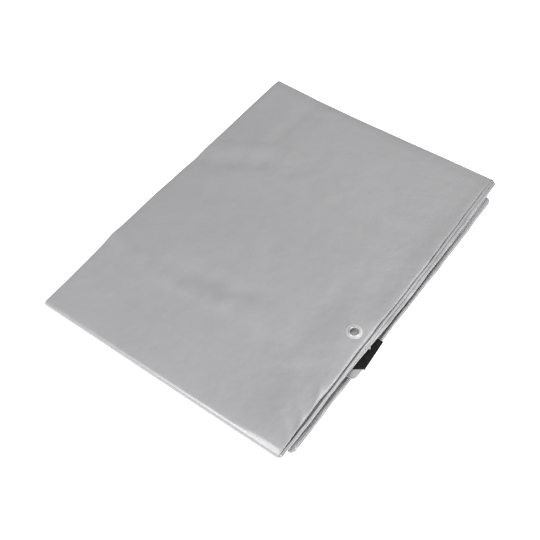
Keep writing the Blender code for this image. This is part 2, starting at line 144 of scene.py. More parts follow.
# Creases of the top: points on the pack in mm, height in mm (a ridge is +), half width in mm
Crease = namedtuple("Crease", "points height width")
CREASES = (
    Crease(((-70, 128), (-12, 126), (30, 122), (70, 114), (116, 110), (150, 115), (175, 122),
            (250, 124)), 1.9, 12),
    Crease(((-12, 150), (40, 143), (95, 133)), 0.6, 17),
    Crease(((95, 136), (130, 137), (165, 145), (215, 150)), -1.5, 11),
    Crease(((-80, 280), (-12, 284), (21, 292), (87, 340), (130, 344), (168, 332), (255, 330),
            (335, 340)), -1.5, 14),
    Crease(((-12, 305), (40, 336), (84, 366), (130, 370), (190, 364), (250, 358)), 0.9, 11),
    Crease(((60, 200), (110, 208), (170, 203)), -0.4, 11),
    Crease(((74, 490), (73, 430), (70, 384), (84, 356)), -0.7, 8),
    Crease(((100, 485), (104, 440), (98, 400)), 0.45, 8),
    Crease(((162, 240), (176, 215), (196, 185)), -0.6, 8),
    Crease(((262, 92), (279, 97), (296, 109)), 0.55, 4),
    Crease(((284, 112), (302, 116), (321, 130)), 0.5, 4),
    Crease(((232, 112), (262, 116), (290, 128)), -0.6, 8),
    Crease(((250, 60), (290, 78), (318, 92)), 0.35, 7),
    Crease(((20, 60), (80, 52), (140, 40)), 0.45, 12),
    Crease(((210, 420), (250, 380), (300, 372)), -0.5, 12),
    Crease(((120, 440), (150, 400), (160, 372)), 0.4, 10),
    Crease(((344, 8), (330, 30), (300, 48)), 0.5, 3.5),
    Crease(((346, 30), (334, 52), (316, 66)), 0.45, 3),
    Crease(((346, 58), (336, 84), (326, 100)), 0.45, 3.5),
    Crease(((150, 132), (166, 128), (182, 131)), 0.3, 3),
    Crease(((176, 140), (190, 133), (206, 134)), 0.3, 3),
    Crease(((226, 98), (240, 84), (262, 80)), 0.3, 5),
    Crease(((30, 300), (60, 296), (92, 318)), 0.35, 7),
    Crease(((110, 300), (150, 285), (200, 290)), -0.3, 10),
    Crease(((240, 250), (262, 222), (270, 190)), 0.3, 8),
)
# A crease has this share of its height at its ends, is full after this share of its length, and its
# height comes and goes by a share in waves
CREASE_END = 0.15
CREASE_FADE = 0.22
CREASE_BUMPS = 0.35
CREASE_BUMP_LENGTH = 0.042

# Unevenness of the top: height in mm, and the slant and length in metres of its waves each way
Uneven = namedtuple("Uneven", "height slant_x length_x slant_y length_y")
UNEVEN = (
    Uneven(0.35, 0.3, 0.131, -0.2, 0.173),
    Uneven(0.24, -0.5, 0.047, 0.4, 0.059),
    Uneven(0.07, 0.7, 0.023, -0.6, 0.027),
)

# How the edges wander: those on the right, within WAVY_REACH, sideways and up, where the last is a
# different amount low and high in the pack, and those on the left
WAVY_REACH = 0.06
WAVY_X = 0.45 * MM
WAVY_LOW = 0.05 * MM
WAVY_HIGH = 0.13 * MM
LEFT_WANDER = 0.5 * MM

# How much the lower layers are pressed together on the right, at each station
PRESSED = (0.12, 0.14, 0.22, 0.46, 0.42, 0.21, 0.08, 0.05)
# The share of it that their outermost folds spring back, and where, in from the folds
RIM_SPRING = 0.75
RIM_SPRING_START = 4.8 * MM
RIM_SPRING_FULL = 2.2 * MM
# The upper layers are pressed to this share of their depth, more or less in waves
UPPER_DEPTH = 0.90
UPPER_DEPTH_WAVE = 0.03
LOWER_PLIES = 8
ALL_PLIES_FRONT = 20
ALL_PLIES_BACK = 16
MIDDLE_RAISE = 0.2 * MM
# Where the stack opens: in from PACK_WIDTH, and along the pack at its front and back ends
OPEN_START = 0.055
OPEN_FULL = 0.004
OPEN_FRONT = (0.030, 0.060)
OPEN_BACK = (0.370, 0.455)

# Right edges of the top pass that stand up or hang down: the lowest and highest level of the plies,
# start and end in mm along Y, height in mm, and where it starts and is full, in mm from PACK_WIDTH
Lift = namedtuple("Lift", "low high start end height reach full")
LIFTS = (
    Lift(1.5, 1.5, 14, 88, 2.7, 75, 20), Lift(1.5, 1.5, 88, 150, 0.9, 45, 10),
    Lift(1.5, 1.5, 205, 300, 1.1, 30, 4), Lift(1.5, 1.5, 300, 375, 1.8, 34, 4),
    Lift(1.5, 1.5, 375, 455, 0.9, 20, 4), Lift(-1.6, -0.4, 20, 92, -3.4, 7, 4),
    Lift(-1.6, -0.4, 215, 420, -1.6, 7, 4),
)
LIFT_FADE = 24

# The eyelets push their hems up: flat round them, and down to nothing at these distances, but for the
# outer side, where only PUCKER_DROP of it is lost
PUCKER_FLAT = 10.0 * MM
PUCKER_INWARD = 50.0 * MM
PUCKER_OUTWARD = 22.0 * MM
PUCKER_DROP = 0.15
PUCKER_FLAT_Y = 9.5 * MM
PUCKER_END_Y = 62.0 * MM

# The upper hem curls down over its last millimetres, and more broadly in front of CURL_END
CURL = 0.35 * MM
CURL_REACH = 2.2 * MM
BROAD_CURL = 0.2 * MM
BROAD_CURL_REACH = 12.0 * MM
CURL_FULL = 0.09
CURL_END = 0.17

# The lower hem has a rounded edge with a groove behind it: heights at distances from the hem's edge,
# both in mm, and how much of them there is at each station
GROOVE_AWAY = (0.0, 0.6, 1.6, 2.8, 3.4, 3.9, 4.4, 5.0, 5.5, 6.2, 7.1, 9.0)
GROOVE = (-0.9, -0.45, -0.1, 0.05, -0.15, -0.9, -2.1, -3.0, -2.8, -1.4, -0.5, 0.0)
GROOVE_SHARE = (0.6, 0.95, 0.45, 0.2, 0.4, 0.5, 0.35, 0.2)
GROOVE_FRONT = (0.006, 0.022)
GROOVE_BACK = (0.455, 0.472)

# The front edge of the corner of the tucked-in end stands up
FLAP_CURL = 2.0 * MM
FLAP_CURL_REACH = 3.5 * MM
FLAP_CURL_WIDTH = 5.0 * MM

# A small tag of the lower hem's edge hangs out over the patch
TAG_Y = 0.1695
TAG = 4.2 * MM
TAG_HALF_WIDTH = 2.4 * MM
TAG_DROP = 0.6

# How far the near right corner of the lower layers is pulled out to the front
EAR = 6.0 * MM
EAR_WIDTH = 10.0 * MM
EAR_END = (0.022, 0.042)
EAR_HEIGHT = 8.0 * MM
EAR_TOP = (10.0 * MM, 11.0 * MM)

# The patch: half its thickness and how far it stands off the corner's edge
PATCH_HALF = 0.22 * MM
PATCH_GAP = 0.1 * MM

# Below the top of an eyelet's solid: the face of its hem, and the depth below which painted shade
# darkens its hole
EYELET_FACE = 1.30 * MM
PAINTED_SHADE_BELOW = 1.6 * MM

# Area lights, which look at the origin: sizes in metres, power in watts
Light = namedtuple("Light", "name place size power")
LIGHTS = (
    Light("front", (-0.24, -0.95, 1.00), (0.38, 1.10), 10.8),
    Light("back", (0.24, 0.66, 1.40), (0.5, 0.4), 5.0),
    Light("behind", (-0.50, 1.60, 1.45), (1.2, 0.6), 1.2),
    Light("side", (1.40, -0.35, 0.26), (1.2, 0.3), 18.0),
)
WORLD_STRENGTH = 0.38

# The photograph's camera: its lens, its axes, and its place from ORIGIN
LENS = 59.88
SENSOR = 36.0
CAMERA_RIGHT = (0.81390, 0.58099, -0.00378)
CAMERA_LOOK = (-0.35141, 0.48708, -0.79954)
CAMERA_PLACE = (0.57264, -0.33362, 0.88912)


def mixed(a, b, share):
    return a + (b - a) * share


def eased(value, low, high):
    """0 below low, 1 above high, and a smooth step between them."""
    share = np.clip((value - low) / (high - low), 0.0, 1.0)
    return share * share * (3.0 - 2.0 * share)


def station_value(row, y):
    """Smooth curve through one row of values in millimetres, one for each station, in metres."""
    values = np.array(row)
    last = len(STATIONS) - 1
    k = np.clip(np.searchsorted(STATIONS, y, side="left") - 1, 0, last - 1)
    span = STATIONS[k + 1] - STATIONS[k]
    t = np.clip((y - STATIONS[k]) / span, 0.0, 1.0)
    before, after = np.maximum(0, k - 1), np.minimum(last, k + 2)
    slope_a = (values[k + 1] - values[before]) / (STATIONS[k + 1] - STATIONS[before]) * span
    slope_b = (values[after] - values[k]) / (STATIONS[after] - STATIONS[k]) * span
    cubic = (2 * t**3 - 3 * t**2 + 1) * values[k] + (3 * t**2 - 2 * t**3) * values[k + 1]
    return (cubic + (t**3 - 2 * t**2 + t) * slope_a + (t**3 - t**2) * slope_b) * MM


def flap_reach(y):
    """How far the corner of the tucked-in end reaches past PACK_WIDTH, from FLAP_START on."""
    rise = (y - FLAP_START) / (FLAP_WIDEST - FLAP_START)
    fall = (y - FLAP_WIDEST) / (TUCKED_END - FLAP_WIDEST)
    first = mixed(FLAP_REACH_START, FLAP_REACH_WIDEST, rise)
    reach = np.where(y < FLAP_WIDEST, first, mixed(FLAP_REACH_WIDEST, FLAP_REACH_END, fall))
    short = np.clip(FLAP_START + FLAP_CORNER - y, 0.0, FLAP_CORNER)
    return reach - FLAP_CORNER + np.sqrt(FLAP_CORNER**2 - short**2)


def waves(place, length, seed):
    """Smooth uneven waves along a line, about -1 to 1; length is that of the main wave."""
    total = np.zeros_like(place)
    for k, (share, size) in enumerate(((1.0, 0.5), (0.61, 0.3), (0.37, 0.2))):
        total = total + size * np.sin(math.tau * place / (length * share) + seed * (2.3 + k) + k * 1.7)
    return total


def edge_x(number, edge, y):
    """X of one right edge of a pass: hem_a, hem_b or fold."""
    row, behind = getattr(PASSES[number], edge)
    x = PACK_WIDTH + station_value(REACH[row], y) - behind * MM
    if number == TUCKED and edge == "hem_a":
        x = np.where(y < FLAP_START - 1e-9, x, PACK_WIDTH + flap_reach(y))
    return x


def left_x(number, y):
    """X of the left folds of a pass."""
    if number == TOP:
        return station_value(TOP_LEFT, y)
    wander = LEFT_WANDER * np.sin(21.0 * y + 1.7 * PASSES[number].below_front)
    return PASSES[number].left * MM + LEFT_WANDER + wander


def back_shift(x, y):
    """How far a place is moved along Y, because the back fold doesn't run straight."""
    edge = station_value(BACK_EDGE, x * PACK_LENGTH / PACK_WIDTH)
    return edge * eased(y, BACK_EDGE_START, BACK_EDGE_FULL)


def closed_share(y):
    """0 over the tucked-in end, 1 behind it, where the layers above have come down."""
    return eased(y, TUCKED_END + CLOSE_UP_START, TUCKED_END + CLOSE_UP)


# Places along the band: one array for each value
Along = namedtuple("Along", "y z out_y out_z pitch first second mix")


def pass_rows(number, ys):
    """Places on the straight part of one pass."""
    y = np.array(sorted(ys)[::PASSES[number].heading])
    closed = closed_share(y)
    pitch = mixed(PITCH_FRONT, PITCH_BACK, closed)
    below = mixed(PASSES[number].below_front, PASSES[number].below_back, closed)
    z = SOLID_SHEET / 2 + pitch * (below + (PLIES - 1) / 2)
    same = np.full(len(y), number)
    zero = np.zeros(len(y))
    return Along(y, z, zero, zero + PASSES[number].heading, pitch, same, same, zero)


def turn_rows(first, second, y_centre, side, steps):
    """Half circle from one pass to the next, at the front (side -1) or at the back (side +1)."""
    start, end = pass_rows(first, [y_centre]), pass_rows(second, [y_centre])
    rising = 1 if end.z[0] > start.z[0] else -1
    radius = abs(end.z[0] - start.z[0]) / 2
    sign = -rising * PASSES[first].heading
    angle = math.pi * np.arange(1, steps) / steps
    away_y, away_z = side * np.sin(angle), -rising * np.cos(angle)
    same = np.ones(steps - 1, int)
    return Along(
        y_centre + radius * away_y, (start.z[0] + end.z[0]) / 2 + radius * away_z,
        sign * away_y, sign * away_z, same * start.pitch[0],
        same * first, same * second, (1 - np.cos(angle)) / 2,
    )


def turn_room(pitch):
    """How far a turn's centre lies in from its outermost cloth."""
    return pitch * (PLIES / 2 + (PLIES - 1) / 2) + SOLID_SHEET / 2


def spaced(low, high, step):
    """Evenly spaced values from low to high, about one step apart."""
    count = max(1, round((high - low) / step))
    return list(np.linspace(low, high, count + 1))


def all_along():
    """All places along the band, from the tucked-in end to the last end."""
    front = turn_room(PITCH_FRONT)
    back = PACK_LENGTH - turn_room(PITCH_BACK)
    lower_front = LOWER_FRONT_SETBACK + turn_room(PITCH_FRONT)
    lower_back = PACK_LENGTH - LOWER_BACK_SETBACK - turn_room(PITCH_BACK)
    corner = [FLAP_START + FLAP_CORNER * share for share in (-0.04, 0.0, 0.05, 0.15, 0.3, 0.5, 0.75)]
    flap = corner + spaced(FLAP_START + FLAP_CORNER, FLAP_WIDEST, 0.003)
    flap += spaced(FLAP_WIDEST, TUCKED_END, 0.0035)[1:]
    near = [EYELET_Y + k * EYELET_STEP for k in range(-EYELET_STEPS, EYELET_STEPS + 1)]
    top = spaced(front, near[0], TOP_STEP)[:-1] + near + spaced(near[-1], back, TOP_STEP)[1:]
    parts = (
        pass_rows(TUCKED, spaced(front, FLAP_START - 0.002, TUCKED_STEP) + flap),
        turn_rows(TUCKED, TOP, front, -1, 16),
        pass_rows(TOP, top),
        turn_rows(TOP, SECOND, back, +1, 12),
        pass_rows(SECOND, spaced(lower_front, back, LOWER_STEP)),
        turn_rows(SECOND, THIRD, lower_front, -1, 9),
        pass_rows(THIRD, spaced(lower_front, lower_back, LOWER_STEP)),
        turn_rows(THIRD, LAST, lower_back, +1, 9),
        pass_rows(LAST, spaced(LAST_END, lower_back, LOWER_STEP)),
    )
    return Along(*(np.concatenate(values) for values in zip(*parts)))


# Places across the band: fraction runs from the left folds (0) to the right edge (1), shift is added
# along X, level counts plies from the middle, lean is the direction of the cloth's face, and hem is
# the distance from the hem's edge where the place is on a hem, or else a large number
Across = namedtuple("Across", "edge fraction shift level lean_x lean_up hem")
FAR = 9.0


def ply_rows(edge, level, face, fractions, shift=0.0):
    return [Across(edge, share, shift * share, level, 0.0, face, FAR) for share in fractions]


def hem_rows(edge, level, face, insets):
    return [Across(edge, 1.0, -inset, level, 0.0, face, inset) for inset in insets]


def fold_rows(edge, fraction, inset, middle, half, angles, face):
    """Half circle of a lengthwise fold: middle and half count plies, face is +1 or -1."""
    rows = []
    for degrees in angles:
        c, s = math.cos(math.radians(degrees)), math.sin(math.radians(degrees))
        shift = inset + half * PITCH_FRONT * c
        rows.append(Across(edge, fraction, shift, middle + half * s, face * c, face * s, FAR))
    return rows


def all_across():
    """All places across the band, from hem A to hem B."""
    left_room = 1.5 * PITCH_FRONT + SOLID_SHEET / 2
    right_room = 0.5 * PITCH_FRONT + SOLID_SHEET / 2
    behind_a = (2.6, 4.0, *np.arange(5.8, 29.9, 2.0), 33.0, 38.0)
    behind_b = (1.9, 2.8, 3.4, 3.9, 4.4, 5.0, 5.6, 6.4, 7.8, *np.arange(9.6, 33.7, 2.0), 38.0)
    hem_a = [*RIM, *(inset * MM for inset in behind_a)]
    hem_b = [*RIM, *(inset * MM for inset in behind_b)]
    wide = np.linspace(0.87, 0.0, 44)[:-1]
    coarse = (0.985, 0.96, 0.93, 0.88, 0.8, 0.65, 0.5, 0.35, 0.2, 0.08)
    rows = hem_rows("hem_a", 1.5, +1, hem_a)
    rows += ply_rows("hem_a", 1.5, +1, wide)
    rows += fold_rows("hem_a", 0.0, left_room, 0.0, 1.5, range(90, 271, 20), +1)
    rows += ply_rows("fold", -1.5, -1, coarse[::-1])
    rows += fold_rows("fold", 1.0, -right_room, -1.0, 0.5, range(-90, 91, 30), +1)
    rows += ply_rows("fold", -0.5, +1, coarse)
    rows += fold_rows("hem_b", 0.0, left_room, 0.0, 0.5, range(270, 89, -30), -1)
    rows += ply_rows("hem_b", 0.5, -1, (0.08, 0.25, 0.45, 0.65, 0.8, 0.87))
    rows += hem_rows("hem_b", 0.5, -1, hem_b[::-1])
    return rows


def crease_height(x, y, crease):
    """Height of one crease at each place: a soft ridge or trough along its line, faded at both ends."""
    points = np.array(crease.points, float) * MM
    nearest = np.full(np.shape(x), 1.0)
    along = np.zeros(np.shape(x))
    lengths = np.linalg.norm(np.diff(points, axis=0), axis=1)
    starts = np.concatenate(([0.0], np.cumsum(lengths)))
    for a, b, length, start in zip(points, points[1:], lengths, starts):
        way = (b - a) / length
        t = np.clip((x - a[0]) * way[0] + (y - a[1]) * way[1], 0.0, length)
        away = np.hypot(x - a[0] - t * way[0], y - a[1] - t * way[1])
        closer = away < nearest
        nearest = np.where(closer, away, nearest)
        along = np.where(closer, start + t, along)
    ends = np.minimum(along, starts[-1] - along)
    fade = mixed(CREASE_END, 1.0, eased(ends, 0.0, CREASE_FADE * starts[-1]))
    bumpy = 1.0 + CREASE_BUMPS * waves(along, CREASE_BUMP_LENGTH, crease.width)
    return crease.height * MM * np.exp(-((nearest / (crease.width * MM)) ** 2)) * fade * bumpy


def relief(x, y):
    """Height of the top's creases and unevenness at each place."""
    height = sum(crease_height(x, y, crease) for crease in CREASES)
    for k, row in enumerate(UNEVEN):
        across = waves(x + row.slant_x * y, row.length_x, 2.0 * k + 1.0)
        along = waves(y + row.slant_y * x, row.length_y, 2.0 * k + 2.0)
        height = height + row.height * MM * across * along
    return height


def pucker(hem, x, y):
    """How far the eyelets push a hem up round them."""
    x_eyelet = edge_x(TOP, hem.edge, np.array(EYELET_Y)) - hem.inset
    away_x = np.abs(x - x_eyelet)
    away_y = np.abs(y - EYELET_Y)
    outward = 1.0 - PUCKER_DROP * eased(away_x, PUCKER_FLAT, PUCKER_OUTWARD)
    inward = 1.0 - eased(away_x, PUCKER_FLAT, PUCKER_INWARD)
    share_x = np.where(x > x_eyelet, outward, inward)
    return hem.rise * share_x * (1.0 - eased(away_y, PUCKER_FLAT_Y, PUCKER_END_Y))


def lifted(level, x, y):
    """How far a ply of the top pass stands up near its right edge."""
    height = np.zeros(np.broadcast(x, y).shape)
    for lift in LIFTS:
        start, end = lift.start * MM, lift.end * MM
        fade = LIFT_FADE * MM
        share = eased(y, start - fade, start + fade) * (1.0 - eased(y, end - fade, end + fade))
        near = eased(x, PACK_WIDTH - lift.reach * MM, PACK_WIDTH - lift.full * MM)
        moved = (level >= lift.low) & (level <= lift.high)
        height = height + np.where(moved, lift.height * MM * share * near, 0.0)
    return height


def opened(x, y, z):
    """The right edge of the stack opens between the upper and the lower layers. Returns the new Z."""
    closed = closed_share(y)
    middle = LOWER_PLIES * mixed(PITCH_FRONT, PITCH_BACK, closed) + MIDDLE_RAISE
    top = mixed(ALL_PLIES_FRONT * PITCH_FRONT, ALL_PLIES_BACK * PITCH_BACK, closed)
    near = eased(x, PACK_WIDTH - OPEN_START, PACK_WIDTH - OPEN_FULL)
    ends = eased(y, *OPEN_FRONT) * (1.0 - eased(y, *OPEN_BACK))
    rim = PACK_WIDTH + station_value(REACH["lower"], y)
    springy = RIM_SPRING * eased(x, rim - RIM_SPRING_START, rim - RIM_SPRING_FULL)
    low = z * (1.0 - station_value(PRESSED, y) / MM * (1.0 - springy))
    high = top - (top - z) * (UPPER_DEPTH - UPPER_DEPTH_WAVE * waves(y, 0.21, 6.0))
    return mixed(z, np.where(z < middle, low, high), near * ends)


def settle(x, y, z):
    """Z of a place after the sag of what overhangs, the creases and the opened edge."""
    soft = eased(z, FIRM_HEIGHT, SOFT_HEIGHT)
    front = 1.0 - eased(y, 0.0, LOWER_FRONT_SETBACK)
    back = eased(y, PACK_LENGTH - LOWER_BACK_SETBACK, PACK_LENGTH)
    sag = FRONT_SAG * front * eased(x, 0.0, PACK_WIDTH) + BACK_SAG * back
    roll = ROLL_SAG * eased(x, ROLL_SAG_START, ROLL_SAG_FULL)
    roll = roll * mixed(1.0, ROLL_SAG_RIGHT, eased(x, ROLL_SAG_FALL, PACK_WIDTH))
    sag = sag + roll * np.clip(1.0 - y / ROLL_SAG_REACH, 0.0, 1.0) ** 2
    return opened(x, y, z) + soft * (relief(x, y) - sag)


def ear_share(x, y, z):
    """The near right corner of the lower layers is pulled to the front, most at its top."""
    near = eased(x, PACK_WIDTH - EAR_WIDTH, PACK_WIDTH) * (1.0 - eased(y, *EAR_END))
    return near * np.clip(z / EAR_HEIGHT, 0.0, 1.0) * (1.0 - eased(z, *EAR_TOP))


def hem_shape(level, away, y):
    """Height of the upper hem's curl and of the lower hem's groove, away from the hems' edges."""
    curl = CURL * np.clip(1.0 - away / CURL_REACH, 0.0, 1.0) ** 2
    broad = BROAD_CURL * np.clip(1.0 - away / BROAD_CURL_REACH, 0.0, 1.0) ** 2
    curl = curl + broad * (1.0 - eased(y, CURL_FULL, CURL_END))
    groove = np.interp(away / MM, GROOVE_AWAY, GROOVE) * station_value(GROOVE_SHARE, y)
    groove = groove * eased(y, *GROOVE_FRONT) * (1.0 - eased(y, *GROOVE_BACK))
    return np.where(level == UPPER.level, -curl, 0.0) + np.where(level == LOWER.level, groove, 0.0)


def flap_curl(level, x, y):
    """Height of the front edge of the tucked-in end's corner, which is the upper hem's ply."""
    front = np.clip(1.0 - np.maximum(0.0, y - FLAP_START) / FLAP_CURL_REACH, 0.0, 1.0) ** 2
    front = front * eased(x, PACK_WIDTH - FLAP_CURL_WIDTH, PACK_WIDTH)
    return np.where(level == UPPER.level, FLAP_CURL * front, 0.0)


def tag_share(level, away, y):
    """How much a place belongs to the small tag of the lower hem's edge."""
    edge = np.clip(1.0 - away / TAG_HALF_WIDTH, 0.0, 1.0)
    edge = edge * np.exp(-(((y - TAG_Y) / TAG_HALF_WIDTH) ** 2))
    return np.where(level == LOWER.level, edge, 0.0)


def on_hem(rows, hem):
    """Whether each place across the band is on the ply of a hem, as a column."""
    return np.array([row.edge == hem.edge and row.level == hem.level for row in rows])[:, None]


def pass_value(along, value_at):
    """A value of the passes at each place along the band, mixed from pass to pass in the turns."""
    first = sum(np.where(along.first == k, value_at(k), 0.0) for k in range(len(PASSES)))
    second = sum(np.where(along.second == k, value_at(k), 0.0) for k in range(len(PASSES)))
    return mixed(first, second, along.mix)


def cloth_sides(rows, along):
    """X of the left folds along the band, and of each row's right edge."""
    left = pass_value(along, lambda number: left_x(number, along.y))
    rights = {}
    for edge in EDGES:
        rights[edge] = pass_value(along, lambda number: edge_x(number, edge, along.y))
    return left, np.stack([rights[row.edge] for row in rows])


def top_details(rows, along, level, away, x, y, z):
    """The hems, their eyelets' puckers, the lifts, the flap's curl and the tag. Returns X and Z."""
    on_top = (along.first == TOP) & (along.second == TOP)
    on_flap = (along.first == TUCKED) & (along.second == TUCKED)
    for hem in HEMS:
        z = z + np.where(on_top & on_hem(rows, hem), pucker(hem, x, y), 0.0)
    z = z + np.where(on_top, lifted(level, x, y) + hem_shape(level, away, y), 0.0)
    z = z + np.where(on_flap, flap_curl(level, x, y), 0.0)
    tag = TAG * np.where(on_top, tag_share(level, away, y), 0.0)
    return x + tag, z - TAG_DROP * tag


def cloth_grid(rows, along):
    """Middle of the cloth and its outward direction at each place, as two arrays (across, along, 3)."""
    names = Across._fields[1:]
    column = {name: np.array([getattr(row, name) for row in rows])[:, None] for name in names}
    level = column["level"]
    left, right = cloth_sides(rows, along)
    x = mixed(left, right, column["fraction"]) + column["shift"]
    y = along.y + along.out_y * level * along.pitch
    z = along.z + along.out_z * level * along.pitch
    seed = 7.0 * along.first + level
    wavy = eased(x, PACK_WIDTH - WAVY_REACH, PACK_WIDTH)
    x = x + WAVY_X * wavy * waves(y + 0.01 * seed, 0.067, 1.0)
    y = y + back_shift(x, y)
    wavy = wavy * mixed(WAVY_LOW, WAVY_HIGH, eased(z, 8.0 * MM, 13.0 * MM))
    z = settle(x, y, z) + wavy * waves(y + 0.023 * seed, 0.031, 2.0)
    y = y - EAR * ear_share(x, y, z)
    x, z = top_details(rows, along, level, column["hem"], x, y, z)
    lean_up = column["lean_up"]
    leans = (column["lean_x"], along.out_y * lean_up, along.out_z * lean_up)
    return np.stack((x, y, z), axis=-1), np.stack(np.broadcast_arrays(*leans), axis=-1)


def mesh_object(name, points, faces, material, uvs=None):
    data = bpy.data.meshes.new(name)
    data.from_pydata((points + ORIGIN).tolist(), [], faces)
    data.shade_smooth()
    data.materials.append(material)
    if uvs is not None:
        layer = data.uv_layers.new(name="flat")
        corners = np.empty(len(data.loops), int)
        data.loops.foreach_get("vertex_index", corners)
        layer.data.foreach_set("uv", uvs[corners].ravel())
    thing = bpy.data.objects.new(name, data)
    bpy.context.scene.collection.objects.link(thing)
    data.update()
    return thing


def thick_grid(name, upper, lower, keep, flat, material):
    """Closed sheet between two grids of points, of the cells in keep."""
    n, m = upper.shape[:2]
    number = np.arange(n * m).reshape(n, m)
    points = np.concatenate((upper.reshape(-1, 3), lower.reshape(-1, 3)))
    i, j = np.nonzero(keep)
    ring = np.stack((number[i, j], number[i + 1, j], number[i + 1, j + 1], number[i, j + 1]), axis=1)
    faces = [ring, ring[:, ::-1] + n * m]
    padded = np.pad(keep, 1)
    beyond = (padded[i + 1, j], padded[i + 2, j + 1], padded[i + 1, j + 2], padded[i, j + 1])
    for k in range(4):
        a, b = ring[~beyond[k], k], ring[~beyond[k], (k + 1) % 4]
        faces.append(np.stack((b, a, a + n * m, b + n * m), axis=1))
    faces = np.concatenate(faces)
    used, compact = np.unique(faces, return_inverse=True)
    uvs = np.concatenate((flat.reshape(-1, 2), flat.reshape(-1, 2)))[used]
    return mesh_object(name, points[used], compact.reshape(-1, 4).tolist(), material, uvs)


def flat_lengths(middle):
    """Flat position of each place: the length along the cloth from its first row and column, in m."""
    across = np.linalg.norm(np.diff(middle, axis=0), axis=2)
    along = np.linalg.norm(np.diff(middle, axis=1), axis=2)
    u = np.concatenate((np.zeros((1, middle.shape[1])), np.cumsum(across, axis=0)))
    v = np.concatenate((np.zeros((middle.shape[0], 1)), np.cumsum(along, axis=1)), axis=1)
    typical = np.median(u, axis=1, keepdims=True)
    return np.stack((np.broadcast_to(typical, u.shape), np.broadcast_to(v[:1], v.shape)), axis=-1)


def hem_centre(hem):
    """X and Y of a hem's eyelet."""
    return np.array((edge_x(TOP, hem.edge, np.array(EYELET_Y)) - hem.inset, EYELET_Y))


def cut_hole(hem, rows, straight, middle, keep):
    """Drop the cells in a hem's hole from keep, and move the points round it onto its rim."""
    place = on_hem(rows, hem) & straight
    away = middle[..., :2] - hem_centre(hem)
    distance = np.linalg.norm(away, axis=-1)
    centres = (distance[:-1, :-1] + distance[1:, :-1] + distance[:-1, 1:] + distance[1:, 1:]) / 4
    inside = (centres < HOLE_RADIUS) & place[:-1, :-1] & place[1:, 1:]
    keep &= ~inside
    touched = np.zeros(place.shape, bool)
    kept = np.zeros(place.shape, bool)
    for i in (0, 1):
        for j in (0, 1):
            corner = (slice(i, i + inside.shape[0]), slice(j, j + inside.shape[1]))
            touched[corner] |= inside
            kept[corner] |= ~inside
    rim = touched & kept & place
    middle[rim, :2] += away[rim] * (HOLE_RADIUS / distance[rim] - 1.0)[:, None]


def half_thicknesses(rows):
    """Thickness of the cloth to each side of its middle, thinner at a hem's edge."""
    inset = np.array([row.hem for row in rows])
    rounding = np.interp(inset, RIM, RIM_SHARE)
    doubled = HEM_EXTRA * (1.0 - eased(inset, HEM_FOLDED, HEM_WIDTH))
    face = (rounding * SHEET / 2)[:, None, None]
    back = (rounding * (SHEET / 2 + doubled))[:, None, None]
    outward = np.array([row.lean_up >= 0.0 for row in rows])[:, None, None]
    return np.where(outward, face, back), np.where(outward, back, face)


def add_cloth(material):
    rows, along = all_across(), all_along()
    middle, out = cloth_grid(rows, along)
    keep = np.ones((len(rows) - 1, len(along.y) - 1), bool)
    straight = (along.first == TOP) & (along.second == TOP)
    for hem in HEMS:
        cut_hole(hem, rows, straight, middle, keep)
    over, under = half_thicknesses(rows)
    flat = flat_lengths(middle)
    return thick_grid("tarp_cloth", middle + out * over, middle - out * under, keep, flat, material)


def turned(name, profile, centre, steps, material):
    """Ring turned round a vertical axis from a closed outline of radius and height."""
    outline = np.array(profile)
    count = len(outline)
    angle = math.tau * np.arange(steps) / steps
    ring = np.stack((np.outer(np.cos(angle), outline[:, 0]), np.outer(np.sin(angle), outline[:, 0]),
                     np.broadcast_to(outline[:, 1], (steps, count))), axis=-1)
    faces = []
    for k in range(steps):
        a, b = k * count, (k + 1) % steps * count
        faces += [(a + i, b + i, b + (i + 1) % count, a + (i + 1) % count) for i in range(count)]
    return mesh_object(name, ring.reshape(-1, 3) + centre, faces, material)


def arc(radius_at, height_at, radius, start, end, steps):
    """Points of an arc in the section, from one angle to another in degrees."""
    angles = [math.radians(mixed(start, end, k / steps)) for k in range(steps + 1)]
    return [(radius_at + radius * math.cos(a), height_at + radius * math.sin(a)) for a in angles]


def eyelet_outline():
    """Section of the eyelet in metres; 0 is the face of the hem."""
    outline = [(9.85, 0.02)] + arc(9.72, 0.22, 0.22, -40, 90, 5)
    outline += [(9.0, 0.50), (8.0, 0.56), (7.35, 0.60)]
    outline += [(7.0, 0.66), (6.75, 0.82)]
    outline += arc(6.05, 0.72, 0.68, 25, 180, 9)
    outline += [(5.34, 0.2), (5.30, -0.6), (5.30, -1.5)]
    outline += arc(5.75, -1.6, 0.42, 180, 270, 4)
    outline += [(7.8, -2.0), (7.95, -1.85), (7.9, -1.62), (6.3, -1.5), (5.75, -1.4), (5.72, -0.1)]
    outline += [(5.9, 0.04)]
    return [(r * MM, h * MM) for r, h in outline]


def add_eyelet(hem, material):
    low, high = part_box("eyelet_" + hem.name)
    centre = np.array(((low.x + high.x) / 2, (low.y + high.y) / 2, 0.0)) - ORIGIN
    centre[2] = high.z - EYELET_FACE - ORIGIN[2]
    return turned("eyelet_" + hem.name + "_turned", eyelet_outline(), centre, 72, material)


def flap_middle(x, y):
    """Height of the middle of the corner of the tucked-in end."""
    z = SOLID_SHEET / 2 + PITCH_FRONT * PASSES[TUCKED].below_front
    return settle(x, y, np.full(np.shape(x), z))


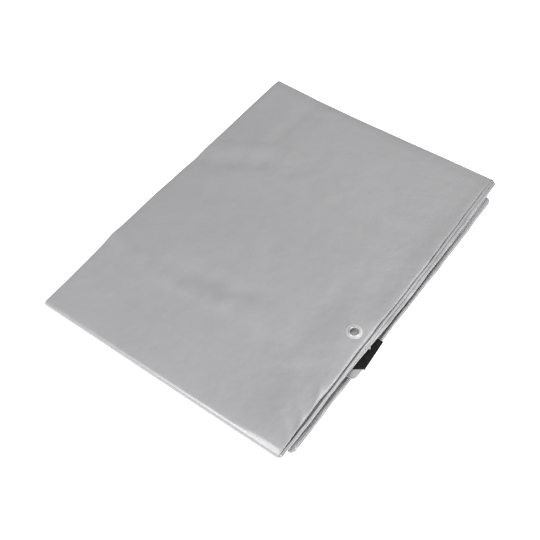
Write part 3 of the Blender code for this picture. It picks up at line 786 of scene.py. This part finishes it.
def patch_row(kind, value, y, half):
    """One row of the patch along Y, on top of the corner, round its edge or under it."""
    inner = PACK_WIDTH + PATCH_INNER
    edge = PACK_WIDTH + flap_reach(np.minimum(y, TUCKED_END)) + PATCH_GAP
    if kind == "over":
        x, offset, out = mixed(np.full(len(y), inner), edge, value), half, (0.0, 0.0, 1.0)
    elif kind == "round":
        x, offset = edge + half * math.cos(value), half * math.sin(value)
        out = (math.cos(value), 0.0, math.sin(value))
    else:
        x, offset, out = edge - PATCH_RETURN * value, -half, (0.0, 0.0, -1.0)
    z = flap_middle(np.minimum(x, edge), y) + offset
    return np.stack((x, y, z), axis=-1), np.broadcast_to(np.array(out), (len(y), 3))


def add_patch(material):
    """Black patch round the edge of the corner, cut at a slant in front."""
    half = SHEET / 2 + HEM_EXTRA + PATCH_HALF
    ways = [("over", share) for share in np.linspace(0.0, 1.0, 9)]
    ways += [("round", angle) for angle in np.radians(np.linspace(90, -90, 9)[1:-1])]
    ways += [("under", share) for share in np.linspace(0.0, 1.0, 5)]
    points, outs = [], []
    for kind, value in ways:
        slant = value if kind == "over" else 1.0
        y_front = mixed(PATCH_FRONT_INNER, PATCH_FRONT_OUTER, slant)
        y = mixed(y_front, PATCH_BACK, np.linspace(0.0, 1.0, 15))
        row, out = patch_row(kind, value, y, half)
        points.append(row)
        outs.append(out)
    middle, out = np.array(points), np.array(outs) * PATCH_HALF
    keep = np.ones((middle.shape[0] - 1, middle.shape[1] - 1), bool)
    flat = flat_lengths(middle)
    return thick_grid("corner_patch_woven", middle + out, middle - out, keep, flat, material)


# Materials


class Nodes:
    """Short hand for building one material's nodes."""

    def __init__(self, name):
        self.material = bpy.data.materials.new(name)
        self.material.use_nodes = True
        self.tree = self.material.node_tree
        self.shader = self.tree.nodes["Principled BSDF"]

    def add(self, kind, inputs=None, **settings):
        node = self.tree.nodes.new(kind)
        for key, value in settings.items():
            setattr(node, key, value)
        for key, value in (inputs or {}).items():
            self.put(node, key, value)
        return node

    def put(self, node, key, value):
        if hasattr(value, "is_linked") or hasattr(value, "links"):
            self.tree.links.new(value, node.inputs[key])
        else:
            node.inputs[key].default_value = value

    def math(self, operation, *values):
        node = self.add("ShaderNodeMath", operation=operation)
        for k, value in enumerate(values):
            self.put(node, k, value)
        return node.outputs[0]

    def noise(self, vector, scale, detail=2.0, roughness=0.5):
        inputs = {"Vector": vector, "Scale": scale, "Detail": detail, "Roughness": roughness}
        return self.add("ShaderNodeTexNoise", inputs).outputs["Fac"]

    def between(self, value, low, high, to_low, to_high):
        inputs = {"Value": value, 1: low, 2: high, 3: to_low, 4: to_high}
        return self.add("ShaderNodeMapRange", inputs).outputs[0]

    def ramp(self, value, *stops):
        node = self.add("ShaderNodeValToRGB", {"Fac": value})
        for k, (place, colour) in enumerate(stops):
            element = node.color_ramp.elements[k] if k < 2 else node.color_ramp.elements.new(place)
            element.position = place
            element.color = (*colour, 1.0)
        return node.outputs["Color"]

    def bump(self, height, strength, distance, below=None):
        inputs = {"Height": height, "Strength": strength, "Distance": distance}
        if below is not None:
            inputs["Normal"] = below
        return self.add("ShaderNodeBump", inputs).outputs["Normal"]

    def set(self, **values):
        for key, value in values.items():
            self.put(self.shader, key.replace("_", " "), value)


def weave(nodes, pitch):
    """Height of a plain weave of flat tapes, from the cloth's flat position."""
    flat = nodes.add("ShaderNodeUVMap", uv_map="flat").outputs["UV"]
    parts = nodes.add("ShaderNodeSeparateXYZ", {"Vector": flat})
    across = nodes.math("MULTIPLY", parts.outputs[0], math.pi / pitch)
    along = nodes.math("MULTIPLY", parts.outputs[1], math.pi / pitch)
    a = nodes.math("ABSOLUTE", nodes.math("SINE", across))
    b = nodes.math("ABSOLUTE", nodes.math("SINE", along))
    return nodes.math("MULTIPLY", nodes.math("POWER", a, 0.5), nodes.math("POWER", b, 0.5))


def coated_cloth():
    nodes = Nodes("coated_cloth_satin")
    place = nodes.add("ShaderNodeTexCoord").outputs["Object"]
    tapes = weave(nodes, 1.1 * MM)
    broad = nodes.noise(place, 9.0, 3.0, 0.55)
    fine = nodes.noise(place, 70.0, 4.0, 0.6)
    crumpled = nodes.noise(place, 55.0, 4.0, 0.6)
    shade = nodes.math("ADD", nodes.math("MULTIPLY", broad, 0.7), nodes.math("MULTIPLY", fine, 0.3))
    colour = nodes.ramp(shade, (0.30, (0.352, 0.352, 0.360)), (0.70, (0.376, 0.376, 0.384)))
    rough = nodes.between(fine, 0.3, 0.7, 0.36, 0.46)
    normal = nodes.bump(crumpled, 0.55, 1.6 * MM)
    normal = nodes.bump(tapes, 0.10, 0.12 * MM, normal)
    nodes.set(Base_Color=colour, Roughness=rough, Normal=normal)
    nodes.shader.inputs["Specular IOR Level"].default_value = 0.6
    nodes.shader.inputs["Coat Weight"].default_value = 1.0
    nodes.shader.inputs["Coat Roughness"].default_value = 0.25
    return nodes.material


def polished_metal(name, dark_below):
    """Aluminium with painted shade inside the hole: darker below a height above the ground."""
    nodes = Nodes(name)
    place = nodes.add("ShaderNodeTexCoord").outputs["Object"]
    scratches = nodes.noise(place, 900.0, 3.0, 0.6)
    dull = nodes.noise(place, 260.0, 2.0, 0.5)
    height = nodes.add("ShaderNodeSeparateXYZ", {"Vector": place}).outputs[2]
    # Painted shade: the metal is made darker below dark_below in place of the shadow inside the hole;
    # the dull noise is its own tone
    unshaded = nodes.between(height, dark_below - 0.3 * MM, dark_below, 0.0, 0.7)
    shade = nodes.math("ADD", unshaded, nodes.math("MULTIPLY", dull, 0.3))
    colour = nodes.ramp(shade, (0.15, (0.50, 0.50, 0.50)), (0.85, (0.62, 0.62, 0.625)))
    rough = nodes.between(dull, 0.3, 0.7, 0.45, 0.55)
    normal = nodes.bump(scratches, 0.08, 0.05 * MM)
    nodes.set(Base_Color=colour, Roughness=rough, Normal=normal)
    nodes.shader.inputs["Metallic"].default_value = 0.75
    return nodes.material


def black_woven():
    nodes = Nodes("black_patch_woven")
    place = nodes.add("ShaderNodeTexCoord").outputs["Object"]
    tapes = weave(nodes, 0.7 * MM)
    dusty = nodes.noise(place, 160.0, 3.0, 0.6)
    colour = nodes.ramp(dusty, (0.35, (0.004, 0.004, 0.004)), (0.70, (0.011, 0.011, 0.012)))
    normal = nodes.bump(tapes, 0.6, 0.25 * MM)
    nodes.set(Base_Color=colour, Roughness=nodes.between(dusty, 0.3, 0.7, 0.6, 0.75), Normal=normal)
    nodes.shader.inputs["Specular IOR Level"].default_value = 0.25
    return nodes.material


def floor_white():
    nodes = Nodes("floor_white")
    place = nodes.add("ShaderNodeTexCoord").outputs["Object"]
    tone = nodes.noise(place, 3.0, 2.0, 0.5)
    nodes.set(Base_Color=nodes.ramp(tone, (0.3, (0.33, 0.33, 0.33)), (0.7, (0.35, 0.35, 0.35))))
    nodes.shader.inputs["Emission Color"].default_value = (1.0, 1.0, 1.0, 1.0)
    nodes.shader.inputs["Emission Strength"].default_value = 1.5
    nodes.shader.inputs["Roughness"].default_value = 0.9
    nodes.shader.inputs["Specular IOR Level"].default_value = 0.1
    return nodes.material


# Floor, light and camera


def add_floor():
    floor = bmesh.new()
    bmesh.ops.create_grid(floor, x_segments=1, y_segments=1, size=4.0)
    data = bpy.data.meshes.new("floor")
    floor.to_mesh(data)
    floor.free()
    data.materials.append(floor_white())
    thing = bpy.data.objects.new("floor", data)
    bpy.context.scene.collection.objects.link(thing)
    thing.location.z = -0.2 * MM
    return thing


def add_light(light):
    data = bpy.data.lights.new(light.name, "AREA")
    data.shape = "RECTANGLE"
    data.size, data.size_y = light.size
    data.energy = light.power
    thing = bpy.data.objects.new(light.name, data)
    bpy.context.scene.collection.objects.link(thing)
    thing.location = light.place
    thing.rotation_euler = (-Vector(light.place)).to_track_quat("-Z", "Y").to_euler()


def add_world(strength):
    world = bpy.data.worlds.new("studio")
    world.use_nodes = True
    background = world.node_tree.nodes["Background"]
    background.inputs["Color"].default_value = (1.0, 1.0, 1.0, 1.0)
    background.inputs["Strength"].default_value = strength
    bpy.context.scene.world = world


def add_camera():
    """The photograph's camera."""
    data = bpy.data.cameras.new("camera")
    data.lens = LENS
    data.sensor_width = SENSOR
    camera = bpy.data.objects.new("camera", data)
    bpy.context.scene.collection.objects.link(camera)
    right = Vector(CAMERA_RIGHT).normalized()
    look = Vector(CAMERA_LOOK).normalized()
    turned_axes = Matrix((right, right.cross(look), -look)).transposed()
    place = Vector(CAMERA_PLACE) + Vector(ORIGIN)
    camera.matrix_world = Matrix.Translation(place) @ turned_axes.to_4x4()
    bpy.context.scene.camera = camera


def main():
    cloth_material = coated_cloth()
    black = black_woven()
    floor = add_floor()

    cloth = add_cloth(cloth_material)
    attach(cloth, "root")
    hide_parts("tarp_sheet", "hem_strip_upper", "hem_strip_lower")

    for hem in HEMS:
        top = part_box("eyelet_" + hem.name)[1].z
        metal = polished_metal("aluminium_" + hem.name, top - PAINTED_SHADE_BELOW)
        eyelet = add_eyelet(hem, metal)
        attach(eyelet, "root")
        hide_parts("eyelet_" + hem.name)
    patch = add_patch(black)
    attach(patch, "root")
    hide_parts("corner_patch")

    add_world(WORLD_STRENGTH)
    for light in LIGHTS:
        add_light(light)
    add_camera()
    bpy.context.scene.view_settings.view_transform = "Standard"


main()
